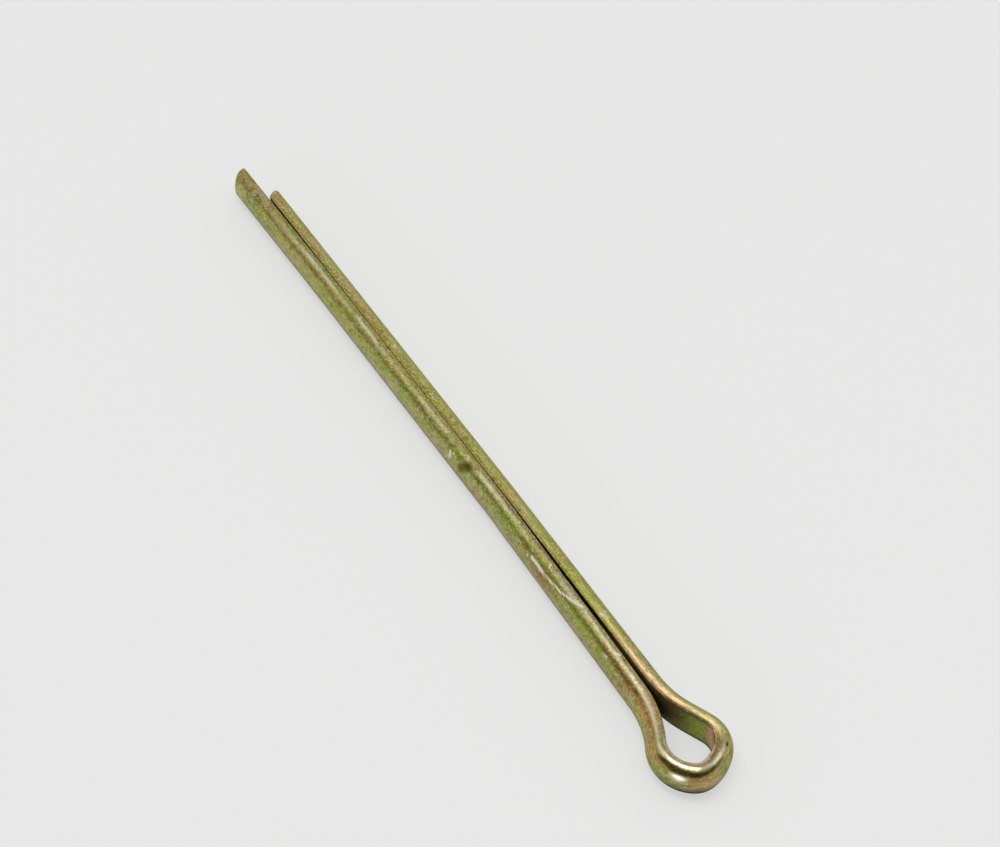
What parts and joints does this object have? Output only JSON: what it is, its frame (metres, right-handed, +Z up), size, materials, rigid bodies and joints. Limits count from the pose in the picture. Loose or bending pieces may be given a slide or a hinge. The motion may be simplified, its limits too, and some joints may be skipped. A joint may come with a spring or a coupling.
{
  "type": "split cotter pin",
  "caption": "Split cotter pin folded from half-round steel wire: a teardrop eye and two legs that close into a round shank, one leg longer, to lock a castle nut or a clevis pin.",
  "frame": {"origin": "on the shank's axis, where the two legs close together, on the eye's side of the closed shank", "axes": "+X along the closed shank towards the tips, +Y on the long leg's side, in the plane of the eye, +Z up as the pin lies on its side"},
  "size_m": [0.114, 0.0101, 0.0046],
  "materials": {
    "yellow_zinc_steel": "yellow passivated zinc plating, satin"
  },
  "bodies": {
    "root": {"cotter_pin": "yellow_zinc_steel"}
  },
  "joints": []
}
